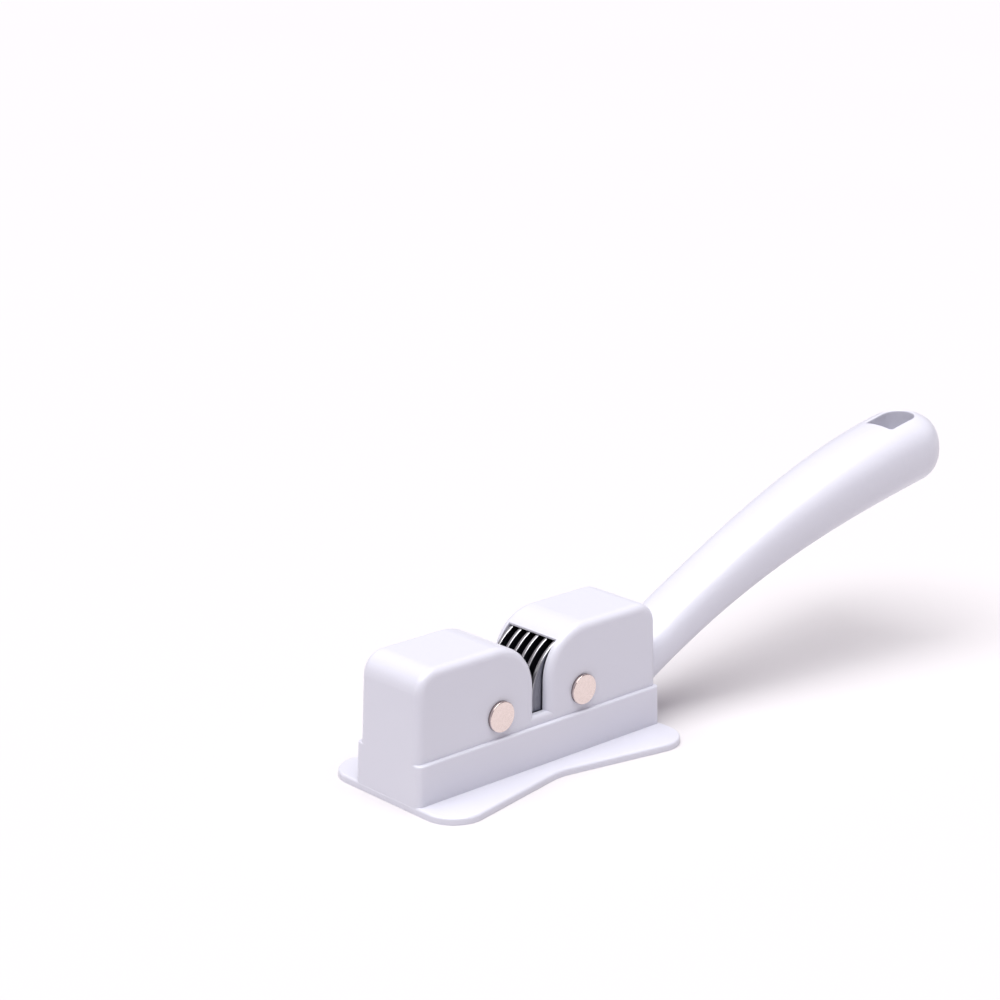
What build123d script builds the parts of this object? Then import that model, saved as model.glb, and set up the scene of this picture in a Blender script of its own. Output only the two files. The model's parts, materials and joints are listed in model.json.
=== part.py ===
from build123d import *
from math import radians, sqrt, tan
import os

os.makedirs("parts", exist_ok=True)

# Hand-held knife sharpener. Millimetres, +Z up, +X towards the handle, -Y the front.
# The origin is the centre of the face it rests on, straight below the knife slot.

# Head: a hollow block, open underneath
HEAD_LENGTH = 80.0
HEAD_TOP = 34.0
END_DRAFT = 2.4  # lean of both end faces, degrees
UPPER_WIDTH = 20.6
BAND_WIDTH = 22.9
LEDGE_HEIGHT = 11.8
WALL = 2.05
OUTER_CORNER = 5.7  # radius of the two top corners of the profile
HUMP_RADIUS = 12.5  # radius of the two humps that lead a blade into the slot
SLOT_WIDTH = 4.2
SLOT_FLOOR = 14.2
WINDOW_HALF = 6.5  # the roof is open this far each side of the slot
UPPER_EDGE = 1.0
UPPER_POST = 2.0
BAND_EDGE = 0.45
BAND_POST = 1.6

# Flange that the head stands on, waisted so that fingers fit beside it
FLANGE_THICKNESS = 1.8
FLANGE_END = 48.8  # width of the outline at the ends, before its corners are rounded
FLANGE_WAIST = 33.3
FLANGE_CORNER = 8.0
WAIST_RADIUS = 15.0
FLANGE_EDGE = 0.6

# Axles and the grinding discs that turn on them
AXLE_SPACING = 27.0
AXLE_HEIGHT = 17.3
TUBE_RADIUS = 2.5
PIN_RADIUS = 1.5
PIN_LENGTH = 15.0
PIN_POINT_GAP = 0.5  # left free at the blind end of the tube
PIN_POINT = 0.3
RIVET_HEAD_RADIUS = 3.8
RIVET_HEAD_HEIGHT = 0.9
RIVET_HEAD_EDGE = 0.25
RUNNING_CLEARANCE = 0.05
HUB_RADIUS = 3.5
DISC_RADIUS = 14.7
DISC_THICKNESS = 1.0
DISC_EDGE = 0.15
SPACER_RADIUS = 5.2
SPACER_EDGE = 0.1
RIGHT_DISCS = 6
LEFT_DISCS = 5
END_GAP = 0.3  # between a disc stack and the wall beside it
ROOF_GAP = 0.3  # between a disc's rim and the roof above it

# Handle: rounded sections along a spine that is a quadratic curve in the XZ plane, and a domed nose
SPINE = ((38.0, 14.2), (95.4, 45.8), (155.4, 53.1))
NOSE_T = 0.905  # place along the spine where the dome begins
STATIONS = (-0.15, 0.1, 0.3, 0.5, 0.7, 0.85, 1.0)  # of the sections, as shares of the way to the nose
HANDLE_START = 38.2
WIDTH_AT_ROOT = 16.0
WIDTH_AT_NOSE = 22.6
DEPTH_AT_ROOT = 12.3
DEPTH_AT_NOSE = 19.2
FULLNESS = 0.68  # 0.55 would make each section an ellipse and 1 a rectangle
HOLE_FLAT = 135.0
HOLE_CENTRE = 143.2
HOLE_RADIUS = 4.5
HOLE_CORNER = 0.9
HOLE_RIM = 0.4

TINY = 0.001  # below this a length counts as nothing
THROUGH = 100.0  # a cut this deep goes right through
STEEP = 0.9  # an edge whose direction has a larger Z share than this counts as upright

# Worked out from the driving dimensions
HALF_LENGTH = HEAD_LENGTH / 2
INNER_HALF_WIDTH = UPPER_WIDTH / 2 - WALL
BAND_INNER_HALF_WIDTH = BAND_WIDTH / 2 - WALL
AXLE_X = AXLE_SPACING / 2
HUMP_X = SLOT_WIDTH / 2 + HUMP_RADIUS
HUMP_Z = HEAD_TOP - HUMP_RADIUS
HUB_HALF_LENGTH = INNER_HALF_WIDTH - END_GAP
PITCH = (2 * HUB_HALF_LENGTH - DISC_THICKNESS) / (RIGHT_DISCS - 1)  # of the discs on one axle


def finish(part, label):
    """Label a finished sub-part and write its file."""
    part.label = label
    export_step(part, f"parts/{label}.step")


def drafted_profile(half_length, top):
    """Half outline of a block with leaning ends, in the XZ plane, from the middle to +X."""
    lean = top * tan(radians(END_DRAFT))
    return [(0, top), (half_length - lean, top), (half_length, 0), (0, 0)]


def upper_block():
    """The head above the ledge, carried down to the base, with two humps and a slot."""
    with BuildPart() as block:
        with BuildSketch(Plane.XZ) as profile:
            with BuildLine():
                foot = Polyline((0, SLOT_FLOOR), (SLOT_WIDTH / 2, SLOT_FLOOR), (SLOT_WIDTH / 2, HUMP_Z))
                hump = RadiusArc(foot @ 1, (HUMP_X, HEAD_TOP), HUMP_RADIUS)
                Polyline(hump @ 1, *drafted_profile(HALF_LENGTH, HEAD_TOP)[1:], (0, SLOT_FLOOR))
            make_face()
            fillet(profile.vertices().group_by(Axis.Y)[-1].sort_by(Axis.X)[-1], OUTER_CORNER)
            mirror(about=Plane.YZ)
        extrude(amount=UPPER_WIDTH / 2, both=True)
        sides = block.faces().filter_by(Axis.Y)
        posts = sides.edges().filter_by(GeomType.LINE).filter_by(lambda edge: is_post(edge))
        fillet(posts, UPPER_POST)
        sides = block.faces().filter_by(Axis.Y)
        fillet(sides.edges().filter_by(lambda edge: edge.center().Z > SLOT_FLOOR - TINY), UPPER_EDGE)
    return block.part


def is_post(edge):
    """True for a corner edge that climbs beside a leaning end face."""
    upright = abs(edge.tangent_at(0.5).Z) > STEEP
    return upright and abs(edge.center().X) > HUMP_X


def lower_band():
    """The slightly wider band below the ledge."""
    with BuildPart() as band:
        with BuildSketch(Plane.XZ):
            with BuildLine():
                Polyline(*drafted_profile(HALF_LENGTH, LEDGE_HEIGHT), close=True)
            make_face()
            mirror(about=Plane.YZ)
        extrude(amount=BAND_WIDTH / 2, both=True)
        sides = band.faces().filter_by(Axis.Y)
        fillet(sides.edges().filter_by(lambda edge: is_post(edge)), BAND_POST)
        sides = band.faces().filter_by(Axis.Y)
        fillet(sides.edges().group_by(Axis.Z)[-1], BAND_EDGE)
    return band.part


def flange_plate():
    """The waisted plate that the head stands on."""
    with BuildPart() as plate:
        with BuildSketch(Plane.XY) as outline:
            with BuildLine():
                Polyline(
                    (HALF_LENGTH, FLANGE_END / 2),
                    (0, FLANGE_WAIST / 2),
                    (-HALF_LENGTH, FLANGE_END / 2),
                    (-HALF_LENGTH, -FLANGE_END / 2),
                    (0, -FLANGE_WAIST / 2),
                    (HALF_LENGTH, -FLANGE_END / 2),
                    close=True,
                )
            make_face()
            corners = outline.vertices().filter_by(lambda vertex: abs(vertex.X) > TINY)
            fillet(corners, FLANGE_CORNER)
            waist = outline.vertices().filter_by(lambda vertex: abs(vertex.X) < TINY)
            fillet(waist, WAIST_RADIUS)
        extrude(amount=FLANGE_THICKNESS)
        fillet(plate.faces().sort_by(Axis.Z)[-1].edges(), FLANGE_EDGE)
    return plate.part


def spine_point(t):
    """Point of the handle's spine, as X and Z."""
    (x0, z0), (x1, z1), (x2, z2) = SPINE
    a, b, c = (1 - t) ** 2, 2 * t * (1 - t), t**2
    return a * x0 + b * x1 + c * x2, a * z0 + b * z1 + c * z2


def spine_direction(t):
    """Direction of the handle's spine, as X and Z."""
    (x0, z0), (x1, z1), (x2, z2) = SPINE
    return (1 - t) * (x1 - x0) + t * (x2 - x1), (1 - t) * (z1 - z0) + t * (z2 - z1)


def section_plane(share):
    """Plane across the handle, a share of the way from its root to its nose; its Y axis points up."""
    t = share * NOSE_T
    x, z = spine_point(t)
    dx, dz = spine_direction(t)
    return Plane(origin=(x, 0, z), x_dir=(0, 1, 0), z_dir=(dx, 0, dz))


def half_sizes(share):
    """Half width and half depth of the handle; both stop growing where the nose begins."""
    width = WIDTH_AT_ROOT + (WIDTH_AT_NOSE - WIDTH_AT_ROOT) * (4 * share**3 - 3 * share**4)
    depth = DEPTH_AT_ROOT + (DEPTH_AT_NOSE - DEPTH_AT_ROOT) * (3 * share**2 - 2 * share**3)
    return width / 2, depth / 2


def section_side(share):
    """Outline of one side of a section, from its top to its bottom: two full, rounded quarters."""
    w, d = half_sizes(share)
    upper = Bezier((0, d), (w * FULLNESS, d), (w, d * FULLNESS), (w, 0))
    Bezier(upper @ 1, (w, -d * FULLNESS), (w * FULLNESS, -d), (0, -d))


def handle_bar():
    """The handle: sections lofted along the spine, a nose turned from the last one, and a hanging hole."""
    with BuildPart() as bar:
        for share in STATIONS:
            with BuildSketch(section_plane(share)):
                with BuildLine():
                    section_side(share)
                    mirror(about=Plane.YZ)
                make_face()
        loft()
        split(bisect_by=Plane(origin=(HANDLE_START, 0, 0), z_dir=(1, 0, 0)))
        nose_plane = section_plane(1)
        with BuildSketch(nose_plane):
            with BuildLine() as outline:
                section_side(1)
                Line(outline.vertices().sort_by(Axis.Y)[-1], outline.vertices().sort_by(Axis.Y)[0])
            make_face()
        revolve(axis=Axis(nose_plane.origin, -nose_plane.y_dir), revolution_arc=180)
        with BuildSketch(Plane.XY) as hole:
            Polygon(
                (HOLE_FLAT, HOLE_RADIUS),
                (HOLE_CENTRE, HOLE_RADIUS),
                (HOLE_CENTRE, -HOLE_RADIUS),
                (HOLE_FLAT, -HOLE_RADIUS),
                align=None,
            )
            fillet(hole.vertices().group_by(Axis.X)[0], HOLE_CORNER)
            with Locations((HOLE_CENTRE, 0)):
                Circle(HOLE_RADIUS)
        extrude(amount=THROUGH, mode=Mode.SUBTRACT)
        fillet(bar.edges().filter_by(lambda edge: on_hole_rim(edge)), HOLE_RIM)
    return bar.part


def on_hole_rim(edge):
    """True for an edge where the hanging hole meets the top or the belly of the handle."""
    middle = edge.position_at(0.5)
    beside = abs(middle.Y) < HOLE_RADIUS + TINY
    along = HOLE_FLAT - TINY < middle.X < HOLE_CENTRE + HOLE_RADIUS + TINY
    level = abs(edge.tangent_at(0.5).Z) < STEEP
    return beside and along and level


def cavity():
    """The hollow of the head, with room for the discs and a window in the roof between the humps."""
    roof = AXLE_HEIGHT + DISC_RADIUS + ROOF_GAP
    window_z = AXLE_HEIGHT + sqrt((roof - AXLE_HEIGHT) ** 2 - (AXLE_X - WINDOW_HALF) ** 2)
    with BuildPart() as hollow:
        with BuildSketch(Plane.XZ) as profile:
            with BuildLine():
                window = Polyline((0, 0), (0, THROUGH), (WINDOW_HALF, THROUGH), (WINDOW_HALF, window_z))
                over_discs = RadiusArc(window @ 1, (AXLE_X, roof), roof - AXLE_HEIGHT)
                Polyline(over_discs @ 1, *drafted_profile(HALF_LENGTH - WALL, roof)[1:])
            make_face()
            fillet(profile.vertices().sort_by(Axis.X)[-2], OUTER_CORNER - WALL)
            mirror(about=Plane.YZ)
        extrude(amount=INNER_HALF_WIDTH, both=True)
        with BuildSketch(Plane.XZ):
            with BuildLine():
                Polyline(*drafted_profile(HALF_LENGTH - WALL, LEDGE_HEIGHT - WALL), close=True)
            make_face()
            mirror(about=Plane.YZ)
        extrude(amount=BAND_INNER_HALF_WIDTH, both=True)
    return hollow.part


def axle_plane(side, y):
    """Plane across an axle, at a distance along it, facing +Y; side is -1 left and 1 right."""
    return Plane(origin=(side * AXLE_X, y, AXLE_HEIGHT), x_dir=(1, 0, 0), z_dir=(0, 1, 0))


def moulded_body():
    """One moulding: head, flange and handle."""
    solids = [upper_block(), lower_band(), flange_plate(), handle_bar()]
    hollow = cavity()
    with BuildPart() as body:
        add(solids)
        add(hollow, mode=Mode.SUBTRACT)
        for side in (-1, 1):
            with BuildSketch(axle_plane(side, 0)):
                Circle(TUBE_RADIUS)
            extrude(amount=THROUGH, both=True, mode=Mode.SUBTRACT)
    finish(body.part, "moulded_body")


def ring(side, y, outer, inner, length, edge):
    """A ring on an axle, centred at y, with its two outer rims chamfered."""
    with BuildPart() as turned:
        with BuildSketch(axle_plane(side, y)):
            Circle(outer)
            Circle(inner, mode=Mode.SUBTRACT)
        extrude(amount=length / 2, both=True)
        if edge:
            rims = turned.edges().filter_by(GeomType.CIRCLE).group_by(SortBy.RADIUS)[-1]
            chamfer(rims, edge)
    return turned.part


def rivet_tube(side, name):
    """Rear half of an axle: a flat head and the tube that both walls and the hub sit on."""
    with BuildPart() as tube:
        with BuildSketch(axle_plane(side, UPPER_WIDTH / 2)):
            Circle(RIVET_HEAD_RADIUS)
        extrude(amount=RIVET_HEAD_HEIGHT)
        fillet(tube.edges().sort_by(Axis.Y)[-1], RIVET_HEAD_EDGE)
        with BuildSketch(axle_plane(side, UPPER_WIDTH / 2)):
            Circle(TUBE_RADIUS)
        extrude(amount=-UPPER_WIDTH)
        with BuildSketch(axle_plane(side, -UPPER_WIDTH / 2)):
            Circle(PIN_RADIUS)
        extrude(amount=PIN_LENGTH, mode=Mode.SUBTRACT)
    finish(tube.part, f"{name}_rivet_tube")


def rivet_pin(side, name):
    """Front half of an axle: a flat head and the pin pressed into the tube."""
    with BuildPart() as pin:
        with BuildSketch(axle_plane(side, -UPPER_WIDTH / 2)):
            Circle(RIVET_HEAD_RADIUS)
        extrude(amount=-RIVET_HEAD_HEIGHT)
        fillet(pin.edges().sort_by(Axis.Y)[0], RIVET_HEAD_EDGE)
        with BuildSketch(axle_plane(side, -UPPER_WIDTH / 2)):
            Circle(PIN_RADIUS)
        extrude(amount=PIN_LENGTH - PIN_POINT_GAP)
        chamfer(pin.edges().sort_by(Axis.Y)[-1], PIN_POINT)
    finish(pin.part, f"{name}_rivet_pin")


def roller(side, name, discs):
    """A hub with grinding discs pressed on it, and spacers between and beside them."""
    bore = TUBE_RADIUS + RUNNING_CLEARANCE
    finish(ring(side, 0, HUB_RADIUS, bore, 2 * HUB_HALF_LENGTH, 0), f"{name}_hub")
    first = -PITCH * (discs - 1) / 2
    for number in range(discs):
        disc = ring(side, first + number * PITCH, DISC_RADIUS, HUB_RADIUS, DISC_THICKNESS, DISC_EDGE)
        finish(disc, f"{name}_disc_{number + 1}")
    gap = PITCH - DISC_THICKNESS
    for number in range(discs - 1):
        y = first + (number + 0.5) * PITCH
        spacer = ring(side, y, SPACER_RADIUS, HUB_RADIUS, gap, SPACER_EDGE)
        finish(spacer, f"{name}_spacer_{number + 1}")
    beside = HUB_HALF_LENGTH + first - DISC_THICKNESS / 2
    if beside > TINY:
        for end, label in ((-1, "front"), (1, "rear")):
            y = end * (HUB_HALF_LENGTH - beside / 2)
            collar = ring(side, y, SPACER_RADIUS, HUB_RADIUS, beside, SPACER_EDGE)
            finish(collar, f"{name}_end_spacer_{label}")


moulded_body()
for side, name, discs in ((-1, "left", LEFT_DISCS), (1, "right", RIGHT_DISCS)):
    rivet_tube(side, name)
    rivet_pin(side, name)
    roller(side, name, discs)
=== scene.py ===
# %% [markdown]
# # A hand-held knife sharpener
# One white moulding makes the head, the plate it stands on and the long handle. Two riveted axles
# cross the head, and steel discs turn on them and mesh in the slot like the fingers of two hands.
# The CAD model already holds every size, so this lesson is about surfaces: how the plastic, the
# nickel and the ground steel take the light.

# %% Load the frame
import json
from math import cos, degrees, pi, radians, sin, tan

import bmesh
import bpy
from mathutils import Matrix, Vector


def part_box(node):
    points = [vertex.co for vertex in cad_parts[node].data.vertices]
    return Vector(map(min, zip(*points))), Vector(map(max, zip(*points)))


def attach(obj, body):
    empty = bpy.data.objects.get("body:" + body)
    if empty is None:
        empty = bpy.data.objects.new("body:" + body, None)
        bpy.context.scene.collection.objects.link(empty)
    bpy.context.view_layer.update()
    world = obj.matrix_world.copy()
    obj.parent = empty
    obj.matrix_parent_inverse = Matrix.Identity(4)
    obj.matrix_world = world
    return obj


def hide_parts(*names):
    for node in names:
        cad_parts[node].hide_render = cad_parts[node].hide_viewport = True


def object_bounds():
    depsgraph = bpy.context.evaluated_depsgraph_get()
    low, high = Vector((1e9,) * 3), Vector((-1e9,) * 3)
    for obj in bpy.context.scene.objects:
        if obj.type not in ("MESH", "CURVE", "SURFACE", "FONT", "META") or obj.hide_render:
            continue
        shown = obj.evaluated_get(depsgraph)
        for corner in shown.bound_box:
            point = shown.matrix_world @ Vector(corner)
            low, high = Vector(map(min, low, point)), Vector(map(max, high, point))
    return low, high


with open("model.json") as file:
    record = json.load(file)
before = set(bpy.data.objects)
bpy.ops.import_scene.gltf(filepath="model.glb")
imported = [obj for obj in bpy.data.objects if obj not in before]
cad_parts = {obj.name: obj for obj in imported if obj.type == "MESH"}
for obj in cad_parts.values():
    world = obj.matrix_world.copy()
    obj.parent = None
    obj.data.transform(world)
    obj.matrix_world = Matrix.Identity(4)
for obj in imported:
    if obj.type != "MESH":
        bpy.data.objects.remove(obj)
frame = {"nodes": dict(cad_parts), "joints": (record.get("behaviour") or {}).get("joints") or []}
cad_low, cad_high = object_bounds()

MM = 0.001

# %% [markdown]
# ## The camera
# A small object is best seen through a long lens from a little above, because a short lens would
# swell the near corner of the head. The camera could be placed by eye, but angles and a distance
# are easier to repeat: it stands to the left of the head, so that the handle runs away to the right.

# %% Camera
VIEW_TURN = radians(42.782)
VIEW_HEIGHT = radians(16.739)
VIEW_ROLL = radians(0.318)
VIEW_DISTANCE = 585.074 * MM
VIEW_TARGET = Vector((-4.443, 0.0, 66.093)) * MM
LENS = 90.0  # millimetres, the unit that a camera takes
SENSOR = 36.0
NEAREST = 10 * MM


def place_camera():
    """A camera on a sphere about its target, rolled a touch about its own axis."""
    data = bpy.data.cameras.new("camera")
    data.lens = LENS
    data.sensor_width = SENSOR
    data.clip_start = NEAREST
    camera = bpy.data.objects.new("camera", data)
    bpy.context.scene.collection.objects.link(camera)
    level = cos(VIEW_HEIGHT)
    back = Vector((-sin(VIEW_TURN) * level, -cos(VIEW_TURN) * level, sin(VIEW_HEIGHT)))
    aim = back.to_track_quat("Z", "Y").to_matrix().to_4x4()
    roll = Matrix.Rotation(VIEW_ROLL, 4, "Z")
    camera.matrix_world = Matrix.Translation(VIEW_TARGET + back * VIEW_DISTANCE) @ aim @ roll
    return camera


camera = place_camera()
bpy.context.scene.camera = camera
print("camera stands at", [round(v, 3) for v in camera.matrix_world.translation])

# %% [markdown]
# ## Floor and light
# White plastic on a white table needs light that falls mostly from above: the tops and the table
# turn pure white, and the upright faces keep a soft grey that shows their shape. A lamp close by
# would fade across the table, so the main light is a sun with a very wide disc, which lights every
# spot the same and still blurs the shadows. A dim, faintly lilac sky fills them.

# %% Light
SUN_STRENGTH = 4.25
SUN_DISC = radians(64)
SUN_LEAN = (radians(3), radians(-10))
SKY_COLOUR = (1.0, 0.86, 0.96)
SKY_STRENGTH = 0.22

scene = bpy.context.scene
scene.view_settings.view_transform = "Standard"


def light_sky():
    """An even sky without a picture in it."""
    world = bpy.data.worlds.new("sky")
    world.use_nodes = True
    background = world.node_tree.nodes["Background"]
    background.inputs["Color"].default_value = (*SKY_COLOUR, 1.0)
    background.inputs["Strength"].default_value = SKY_STRENGTH
    scene.world = world


def light_sun():
    """A wide, soft sun almost overhead."""
    data = bpy.data.lights.new("overhead", "SUN")
    data.energy = SUN_STRENGTH
    data.angle = SUN_DISC
    lamp = bpy.data.objects.new("overhead", data)
    lamp.rotation_euler = (*SUN_LEAN, 0)
    scene.collection.objects.link(lamp)


light_sky()
light_sun()
print("sun disc of", round(degrees(SUN_DISC)), "degrees")

# %% [markdown]
# ## Reading the frame
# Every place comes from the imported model. Each roller's joint gives the line of its axle, and the
# boxes of the CAD pieces give their radii and lengths.

# %% Axles
AXLES = {joint["child"].split("_")[0]: Vector(joint["pos_m"]) for joint in frame["joints"]}


def radius_of(node):
    """Radius of a turned piece, from its box."""
    low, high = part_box(node)
    return (high.z - low.z) / 2


def span_of(node):
    """Front and rear ends of a piece along its axle."""
    low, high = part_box(node)
    return low.y, high.y


for side, axle in AXLES.items():
    print(side, "axle at", [round(v / MM, 2) for v in axle], "mm")

# %% [markdown]
# ## A small kit for materials
# A finish is more than a colour. Skin, scratches and soiling are each a faint pattern at its own
# size, so a few helpers make it quick to lay patterns over each other. All patterns are measured
# in metres on the object itself, so they stay put when a piece turns.


# %% Material helpers
FIRST_COLOUR, SECOND_COLOUR, MIXED_COLOUR = 6, 7, 2  # the Mix node's sockets for colours


class Finish:
    """A material being built up: it holds the node tree and its one shader."""

    def __init__(self, name):
        self.material = bpy.data.materials.new(name)
        self.material.use_nodes = True
        self.tree = self.material.node_tree
        self.shader = self.tree.nodes["Principled BSDF"]
        self.place = self.add("ShaderNodeTexCoord").outputs["Object"]

    def add(self, kind, **inputs):
        """A node of a kind, with its named inputs joined to a socket or set to a value."""
        node = self.tree.nodes.new(kind)
        for name, value in inputs.items():
            self.feed(node.inputs[name.replace("_", " ")], value)
        return node

    def feed(self, socket, value):
        """Join a socket to an output, or set it to a value."""
        if isinstance(value, bpy.types.NodeSocket):
            self.tree.links.new(value, socket)
        else:
            socket.default_value = value

    def noise(self, period, detail=3.0, vector=None):
        """Cloudy pattern whose blotches are about one period wide."""
        place = self.place if vector is None else vector
        return self.add("ShaderNodeTexNoise", Vector=place, Scale=1 / period, Detail=detail).outputs["Fac"]

    def stretched(self, scale):
        """The place on the object, scaled differently along each axis."""
        return self.add("ShaderNodeMapping", Vector=self.place, Scale=scale).outputs["Vector"]

    def between(self, factor, low, high, start=0.0, end=1.0):
        """Carry a factor from start..end over to low..high, held at both ends."""
        bounds = {"From_Min": start, "From_Max": end, "To_Min": low, "To_Max": high}
        return self.add("ShaderNodeMapRange", Value=factor, **bounds).outputs["Result"]

    def openness(self, reach):
        """One where the surface lies open, falling to nought where it is shut in within a reach."""
        return self.add("ShaderNodeAmbientOcclusion", Distance=reach).outputs["AO"]

    def maths(self, operation, a, b):
        """Arithmetic on two values or sockets."""
        node = self.tree.nodes.new("ShaderNodeMath")
        node.operation = operation
        self.feed(node.inputs[0], a)
        self.feed(node.inputs[1], b)
        return node.outputs[0]

    def blend(self, factor, first, second):
        """Mix two colours by a factor."""
        node = self.tree.nodes.new("ShaderNodeMix")
        node.data_type = "RGBA"
        self.feed(node.inputs["Factor"], factor)
        for place, colour in ((FIRST_COLOUR, first), (SECOND_COLOUR, second)):
            opaque = colour if isinstance(colour, bpy.types.NodeSocket) else (*colour, 1.0)
            self.feed(node.inputs[place], opaque)
        return node.outputs[MIXED_COLOUR]

    def relief(self, height, depth, below=None):
        """Bump of a real depth in metres, laid over an earlier one."""
        node = self.add("ShaderNodeBump", Height=height, Distance=depth)
        if below is not None:
            self.tree.links.new(below, node.inputs["Normal"])
        return node.outputs["Normal"]

    def shade(self, **inputs):
        """Join or set the shader's own sockets."""
        for name, value in inputs.items():
            self.feed(self.shader.inputs[name.replace("_", " ")], value)


# %% [markdown]
# ### White moulded plastic
# The body is injection moulded in one shot. Its skin copies the tool: almost smooth, with a faint
# orange-peel swell and a spark-eroded grain far finer than a millimetre. A little light sinks into
# the plastic and softens its shaded edges, and painted shade darkens the inside corners in specks.
# A flat white would show none of that.

# %% White plastic
PLASTIC_WHITE = (0.695, 0.70, 0.775)
PLASTIC_SHADE = (0.68, 0.68, 0.76)
PLASTIC_CORNER_SHADE = (0.50, 0.50, 0.56)
CLOUD = 28 * MM
CORNER_SHADE_REACH = 1.6 * MM  # how near another surface must be for the painted corner shade
CORNER_SHADE_SPECK = 2 * MM
SWELL, SWELL_DEPTH = 9 * MM, 0.05 * MM
PEEL, PEEL_DEPTH = 0.9 * MM, 0.006 * MM
GRAIN, GRAIN_DEPTH = 0.16 * MM, 0.0025 * MM
SCUFF = 1.2 * MM
SCUFF_STRETCH = (1.0, 5.0, 0.35)
PLASTIC_IOR = 1.52
SINK_DEPTH = 1.5 * MM
SINK_SHARES = (1.0, 0.95, 0.9)  # how deep red, green and blue go


def make_white_plastic():
    """Gloss moulded plastic with a fine grain, with a little painted shade in its corners."""
    finish = Finish("white_moulded_plastic")
    cloudy = finish.blend(finish.noise(CLOUD, 2), PLASTIC_WHITE, PLASTIC_SHADE)
    # painted shade: darker where nearby surfaces shut the plastic in, broken into specks, and rougher there
    painted_corner_shade = finish.between(finish.openness(CORNER_SHADE_REACH), 0.3, 0.0, 0.2, 0.75)
    colour = finish.blend(finish.maths("MULTIPLY", painted_corner_shade, finish.noise(CORNER_SHADE_SPECK)), cloudy, PLASTIC_CORNER_SHADE)
    swell = finish.relief(finish.noise(SWELL, 1), SWELL_DEPTH)
    peel = finish.relief(finish.noise(PEEL, 2), PEEL_DEPTH, swell)
    grain = finish.relief(finish.noise(GRAIN, 2), GRAIN_DEPTH, peel)
    scuffs = finish.between(finish.noise(SCUFF, 4, finish.stretched(SCUFF_STRETCH)), 0.29, 0.33, 0.35, 0.7)
    roughness = finish.maths("ADD", scuffs, finish.between(painted_corner_shade, 0, 0.15))
    finish.shade(Base_Color=colour, Roughness=roughness, Normal=grain, IOR=PLASTIC_IOR)
    finish.shade(Subsurface_Weight=0.12, Subsurface_Scale=SINK_DEPTH, Subsurface_Radius=SINK_SHARES)
    return finish.material


white_plastic = make_white_plastic()
print("made", white_plastic.name)

# %% [markdown]
# ### Circles about an axle
# Turned and ground metal carries fine circles about its axis. They could be laid with a picture,
# but the distance to the axle is enough to draw them at any size. That is why each turned piece
# has its origin on its axle.

# %% Circles
RING_BEND = 3 * MM
RING_SQUEEZE = 0.2  # how far the pattern changes along the axle


def from_axle(finish):
    """Distance from the axle, and the parts of the place along each axis."""
    parts = finish.add("ShaderNodeSeparateXYZ", Vector=finish.place)
    across = finish.add("ShaderNodeCombineXYZ", X=parts.outputs["X"], Z=parts.outputs["Z"]).outputs["Vector"]
    length = finish.tree.nodes.new("ShaderNodeVectorMath")
    length.operation = "LENGTH"
    finish.feed(length.inputs[0], across)
    return length.outputs["Value"], parts


def rings(finish, period, wander):
    """Fine circular lines about the axle, bent a little so that they don't look printed."""
    distance, parts = from_axle(finish)
    bent = finish.maths("ADD", distance, finish.between(finish.noise(RING_BEND), -wander, wander))
    along = finish.maths("MULTIPLY", parts.outputs["Y"], RING_SQUEEZE)
    return finish.noise(period, 4, finish.add("ShaderNodeCombineXYZ", X=bent, Y=along).outputs["Vector"])


# %% [markdown]
# ### Nickel-plated rivets
# A rivet head is pressed and then plated, so it is bright, with faint rings from its tool. Nickel
# looks warm beside steel. Painted shade darkens the head where it meets the wall, and that thin dark
# line is what lifts the head off the plastic, so it is found from how shut in each spot is.

# %% Nickel
NICKEL_BRIGHT = (0.785, 0.673, 0.631)
NICKEL_DULL = (0.748, 0.636, 0.594)
NICKEL_PAINTED_SHADE = (0.16, 0.13, 0.14)
MOTTLE = 0.8 * MM
RIVET_SHADE_REACH = 0.9 * MM
TOOL_RING, TOOL_BEND, TOOL_DEPTH = 0.18 * MM, 0.02 * MM, 0.002 * MM
DENT, DENT_DEPTH = 2.2 * MM, 0.01 * MM
SHEEN_PATCH = 0.5 * MM


def make_nickel():
    """Plated rivet: warm nickel with faint tool rings, and painted shade where the head meets the wall."""
    finish = Finish("nickel_plated_rivet")
    mottle = finish.between(finish.noise(MOTTLE, 4), 0, 1, 0.35, 0.65)
    # painted shade: a thin dark line where the head is shut in against the wall
    painted_rim_shade = finish.between(finish.openness(RIVET_SHADE_REACH), 0.85, 0, 0.62, 0.94)
    colour = finish.blend(painted_rim_shade, finish.blend(mottle, NICKEL_BRIGHT, NICKEL_DULL), NICKEL_PAINTED_SHADE)
    tool = finish.relief(rings(finish, TOOL_RING, TOOL_BEND), TOOL_DEPTH)
    dents = finish.relief(finish.noise(DENT, 1), DENT_DEPTH, tool)
    roughness = finish.between(finish.noise(SHEEN_PATCH, 3), 0.16, 0.28, 0.3, 0.7)
    finish.shade(Base_Color=colour, Metallic=1.0, Roughness=roughness, Normal=dents)
    return finish.material


nickel = make_nickel()
print("made", nickel.name)

# %% [markdown]
# ### Ground discs
# A disc is hardened steel, ground on its faces and rim, so its scratches run round it in close
# circles. Blades keep the rim bright. The faces get a dark colour that is partly painted shade for the
# shadow and dark reflections inside the slot, and a film of oil and old grindings lies on them in
# patches. Painted shade darkens them further where the disc is shut in.

# %% Ground steel
# these steel colours are kept dark partly as painted shade for the shadow and dark reflections inside the
# slot
STEEL_GROOVE = (0.13, 0.135, 0.165)
STEEL_CREST = (0.23, 0.235, 0.27)
STEEL_FILM_AND_SHADE = (0.06, 0.065, 0.09)
STEEL_RIM = (0.58, 0.58, 0.60)
GRINDING, GRINDING_BEND, GRINDING_DEPTH = 0.09 * MM, 0.01 * MM, 0.01 * MM
FILM_PATCH = 5 * MM
SLOT_SHADE_REACH = 4 * MM
RIM_WIDTH = 0.3 * MM


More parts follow.
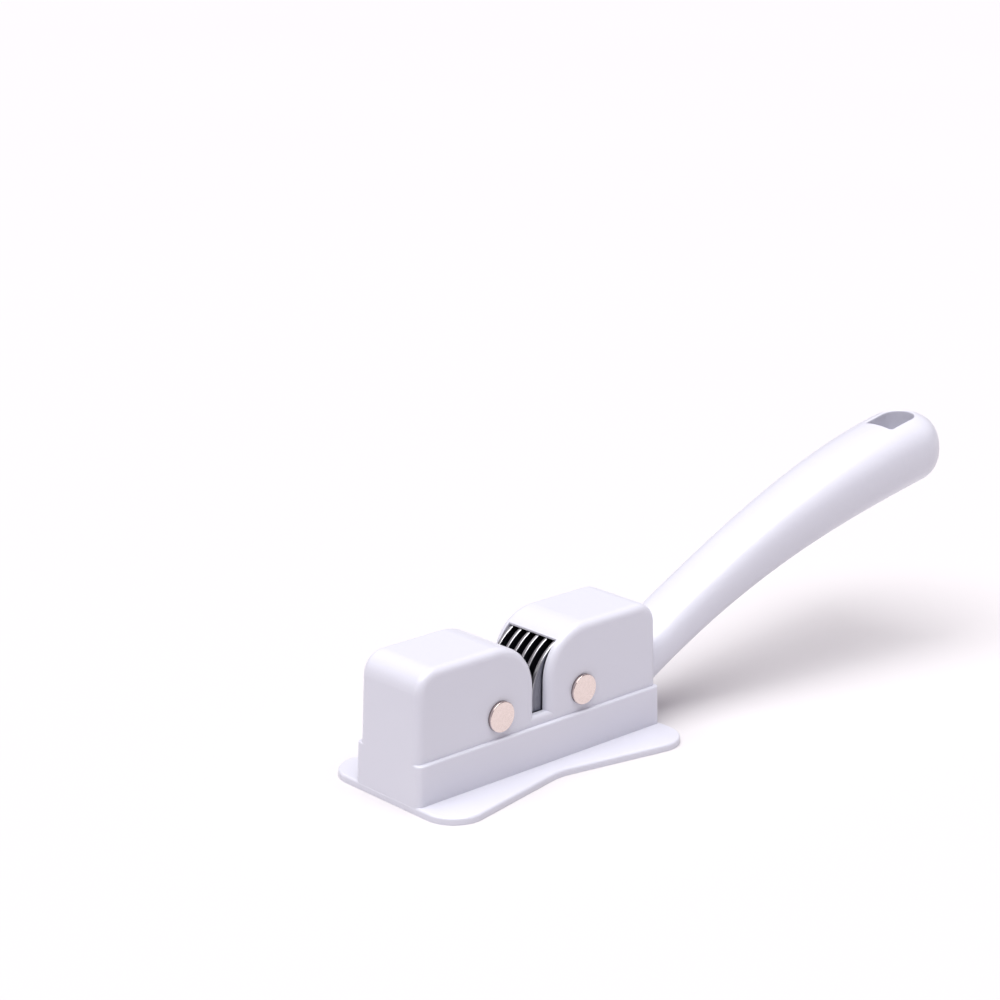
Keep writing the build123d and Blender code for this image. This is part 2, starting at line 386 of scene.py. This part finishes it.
def make_ground_steel():
    """Hardened disc: dark bluish faces with close grinding circles, and a rim that blades polish."""
    finish = Finish("ground_disc_steel")
    cut = rings(finish, GRINDING, GRINDING_BEND)
    colour = finish.blend(finish.between(cut, 0, 1, 0.3, 0.7), STEEL_GROOVE, STEEL_CREST)
    patches = finish.between(finish.noise(FILM_PATCH), 0, 0.5, 0.45, 0.75)
    # painted shade: the faces turn to the film colour where the disc is shut in
    painted_slot_shade = finish.between(finish.openness(SLOT_SHADE_REACH), 0.75, 0, 0.12, 0.6)
    colour = finish.blend(finish.maths("MAXIMUM", patches, painted_slot_shade), colour, STEEL_FILM_AND_SHADE)
    edge = radius_of("left_disc_1")
    polished = finish.between(from_axle(finish)[0], 0, 1, edge - RIM_WIDTH, edge)
    colour = finish.blend(polished, colour, STEEL_RIM)
    roughness = finish.between(cut, 0.24, 0.42, 0.3, 0.7)
    normal = finish.relief(cut, GRINDING_DEPTH)
    finish.shade(Base_Color=colour, Metallic=1.0, Roughness=roughness, Normal=normal)
    return finish.material


ground_steel = make_ground_steel()
print("made", ground_steel.name)

# %% [markdown]
# ### Drawn hubs
# A hub is cut from drawn tube. The die scratches it along its length, so its noise is stretched
# along the axle and needs no circles.

# %% Drawn steel
HUB_BRIGHT = (0.58, 0.58, 0.60)
HUB_DULL = (0.42, 0.42, 0.45)
DRAW_LINE, DRAW_DEPTH = 0.12 * MM, 0.006 * MM
DRAW_STRETCH = (1.0, 0.04, 1.0)


def make_drawn_steel():
    """Hub tube: mid-grey steel scratched along the axle."""
    finish = Finish("drawn_hub_steel")
    lines = finish.noise(DRAW_LINE, 4, finish.stretched(DRAW_STRETCH))
    colour = finish.blend(lines, HUB_BRIGHT, HUB_DULL)
    finish.shade(Base_Color=colour, Metallic=1.0, Roughness=finish.between(lines, 0.22, 0.40, 0.3, 0.7))
    finish.shade(Normal=finish.relief(lines, DRAW_DEPTH))
    return finish.material


drawn_steel = make_drawn_steel()
print("made", drawn_steel.name)

# %% [markdown]
# ### Acetal spacers
# The spacers only keep the discs apart. Natural acetal is milky and waxy, so light goes a little
# way into it and its gloss is soft.

# %% Acetal
ACETAL_CLEAR = (0.74, 0.73, 0.71)
ACETAL_CLOUDY = (0.66, 0.65, 0.63)
ACETAL_CLOUD = 2.5 * MM
ACETAL_SHEEN = 0.4 * MM
ACETAL_SKIN, ACETAL_DEPTH = 0.12 * MM, 0.004 * MM
ACETAL_SINK = 1.0 * MM


def make_acetal():
    """Spacer: natural acetal, milky and waxy."""
    finish = Finish("acetal_spacer")
    colour = finish.blend(finish.noise(ACETAL_CLOUD), ACETAL_CLEAR, ACETAL_CLOUDY)
    finish.shade(Base_Color=colour, Roughness=finish.between(finish.noise(ACETAL_SHEEN), 0.38, 0.5))
    finish.shade(Normal=finish.relief(finish.noise(ACETAL_SKIN), ACETAL_DEPTH))
    finish.shade(Subsurface_Weight=0.25, Subsurface_Scale=ACETAL_SINK)
    return finish.material


acetal = make_acetal()
print("made", acetal.name)

# %% [markdown]
# ## The floor
# The table is plain and pale, with just enough tooth to scatter the light. It isn't part of the
# object.

# %% Floor
FLOOR_HALF = 6.0
FLOOR_PALE = (0.68, 0.66, 0.675)
FLOOR_SHADE = (0.67, 0.65, 0.665)
FLOOR_PATCH = 0.3
TOOTH, TOOTH_DEPTH = 0.6 * MM, 0.01 * MM


def make_floor():
    """A wide matt sheet under the part."""
    finish = Finish("matt_floor")
    colour = finish.blend(finish.noise(FLOOR_PATCH, 1), FLOOR_PALE, FLOOR_SHADE)
    tooth = finish.relief(finish.noise(TOOTH, 2), TOOTH_DEPTH)
    finish.shade(Base_Color=colour, Roughness=0.9, Normal=tooth)
    finish.shade(Specular_IOR_Level=0.15)
    mesh = bpy.data.meshes.new("floor")
    corners = [(x, y, cad_low.z) for x, y in ((-1, -1), (1, -1), (1, 1), (-1, 1))]
    mesh.from_pydata([(x * FLOOR_HALF, y * FLOOR_HALF, z) for x, y, z in corners], [], [(0, 1, 2, 3)])
    mesh.materials.append(finish.material)
    floor = bpy.data.objects.new("floor", mesh)
    scene.collection.objects.link(floor)


make_floor()
print("floor laid at z =", round(cad_low.z / MM, 2), "mm")

# %% [markdown]
# ## The body
# The moulding's shape is the CAD's own, so it stays as it is and only takes its finish.

# %% Body
def dress(node, material):
    """Give a CAD piece its finish."""
    for slot in frame["nodes"][node].material_slots:
        slot.material = material


dress("moulded_body", white_plastic)
print("body has", len(frame["nodes"]["moulded_body"].data.vertices), "points")

# %% [markdown]
# ## Turned pieces
# Rivets, discs, hubs and spacers are all made on a lathe, so each is one outline spun about its
# axle. The CAD breaks most of their edges with one small chamfer or round. Here every outer corner
# gets a true radius, because a sharp rim has no highlight and looks cut from paper.

# %% Lathe
AROUND = 96
ARC_STEPS = 5
WELD = 0.001 * MM
SHARP_FROM = radians(35)


def rounded(corners, radius):
    """Outline with each inner corner replaced by an arc that touches both of its sides."""
    outline = [Vector(corners[0])]
    for before, corner, after in zip(corners, corners[1:], corners[2:]):
        corner = Vector(corner)
        back = (Vector(before) - corner).normalized()
        ahead = (Vector(after) - corner).normalized()
        half = back.angle(ahead) / 2
        reach = radius / tan(half)
        middle = corner + (back + ahead).normalized() * (radius / sin(half))
        start = corner + back * reach - middle
        turn = ahead * reach + corner - middle
        sweep = start.angle_signed(turn)
        for step in range(ARC_STEPS + 1):
            outline.append(middle + Matrix.Rotation(-sweep * step / ARC_STEPS, 2) @ start)
    return outline + [Vector(corners[-1])]


def spin(name, outline, side, body, material, replaced):
    """Spin an outline of (place along the axle, radius) points into a piece on its body."""
    shape = bmesh.new()
    points = [shape.verts.new((0, y, r)) for y, r in outline]
    edges = [shape.edges.new(pair) for pair in zip(points, points[1:])]
    turn = {"cent": (0, 0, 0), "axis": (0, 1, 0), "angle": 2 * pi, "steps": AROUND}
    bmesh.ops.spin(shape, geom=points + edges, use_merge=True, **turn)
    bmesh.ops.remove_doubles(shape, verts=shape.verts, dist=WELD)
    bmesh.ops.recalc_face_normals(shape, faces=shape.faces)
    mesh = bpy.data.meshes.new(name)
    shape.to_mesh(mesh)
    shape.free()
    mesh.shade_smooth()
    mesh.set_sharp_from_angle(angle=SHARP_FROM)
    mesh.materials.append(material)
    piece = bpy.data.objects.new(name, mesh)
    scene.collection.objects.link(piece)
    piece.location = (AXLES[side].x, 0, AXLES[side].z)
    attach(piece, body)
    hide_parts(replaced)


# %% [markdown]
# ### Rivets
# Each axle is a two-part rivet: a tube with one head and a pin with the other, pressed together
# through both walls. A pressed head isn't quite flat. It is dished by a few hundredths of a
# millimetre and rolled over at its rim, and that is what makes its edge flash.

# %% Rivets
HEAD_DISH = 0.06 * MM
HEAD_LAND = 0.55 * MM  # width of the raised rim round the dish
DISH_FLAT = 0.86  # share of the dish that is flat
HEAD_ROLL = 0.168 * MM
PIN_RADIUS = 1.5 * MM
PIN_POINT = 0.3 * MM
TUBE_RADIUS = 2.5 * MM
PIN_LENGTH = 15.0 * MM
PIN_GAP = 0.5 * MM


def head_height():
    """How far a rivet head stands out, from the pin's length."""
    front, rear = span_of("left_rivet_pin")
    return rear - front - (PIN_LENGTH - PIN_GAP)


def head_outline(face, wall, radius):
    """Head from the middle of its dished face round to the wall that it sits on."""
    out = 1 if face > wall else -1
    dish = face - out * HEAD_DISH
    land = radius - HEAD_LAND
    corners = [(dish, land * DISH_FLAT), (face, land), (face, radius), (wall, radius)]
    return [Vector((dish, 0))] + rounded(corners, HEAD_ROLL)


def make_pin(side):
    """Front half: dished head, and the pin with a chamfered point."""
    node = f"{side}_rivet_pin"
    face, point = span_of(node)
    wall = face + head_height()
    tip = [(point - PIN_POINT, PIN_RADIUS), (point, PIN_RADIUS - PIN_POINT), (point, 0)]
    shank = [(wall, PIN_RADIUS)] + tip
    outline = head_outline(face, wall, radius_of(node)) + [Vector(p) for p in shank]
    spin(f"{side}_pin", outline, side, "sharpener", nickel, node)


def make_tube(side):
    """Rear half: dished head, and the tube with a blind bore for the pin."""
    node = f"{side}_rivet_tube"
    mouth, face = span_of(node)
    wall = face - head_height()
    tube = [(wall, TUBE_RADIUS), (mouth, TUBE_RADIUS), (mouth, PIN_RADIUS)]
    bore = [(mouth + PIN_LENGTH, PIN_RADIUS), (mouth + PIN_LENGTH, 0)]
    outline = head_outline(face, wall, radius_of(node)) + [Vector(p) for p in tube + bore]
    spin(f"{side}_tube", outline, side, "sharpener", nickel, node)


for side in AXLES:
    make_pin(side)
    make_tube(side)
print("rivet heads stand out", round(head_height() / MM, 2), "mm")

# %% [markdown]
# ### Discs, hubs and spacers
# The discs do the sharpening. Their rims are ground with a small round on each side, so that a
# blade rides over them and isn't nicked. Spacers hold them apart, and the whole stack is pressed
# on a hub that turns freely on the rivet.

# %% Rollers
HUB_RADIUS = 3.5 * MM
HUB_BORE = 2.55 * MM
DISC_ROUND = 0.22 * MM
SPACER_ROUND = 0.18 * MM
HUB_ROUND = 0.11 * MM


def ring_outline(node, bore, radius):
    """Closed outline of a ring with its two outer corners rounded."""
    front, rear = span_of(node)
    outer = radius_of(node)
    corners = [(front, bore), (front, outer), (rear, outer), (rear, bore)]
    return rounded(corners, radius) + [Vector(corners[0])]


def make_ring(node, bore, radius, material, slot):
    """A ring piece on its roller."""
    side = node.split("_")[0]
    spin(f"{node}_ground", ring_outline(node, bore, radius), side, f"{side}_roller", material, node)


RING_KINDS = {
    "disc": (HUB_RADIUS, DISC_ROUND, ground_steel, "disc_steel"),
    "spacer": (HUB_RADIUS, SPACER_ROUND, acetal, "spacer_plastic"),
    "hub": (HUB_BORE, HUB_ROUND, drawn_steel, "hub_steel"),
}
for node in frame["nodes"]:
    for kind, recipe in RING_KINDS.items():
        if kind in node:
            make_ring(node, *recipe)
print("turned", ", ".join(RING_KINDS), "pieces for", len(AXLES), "rollers")
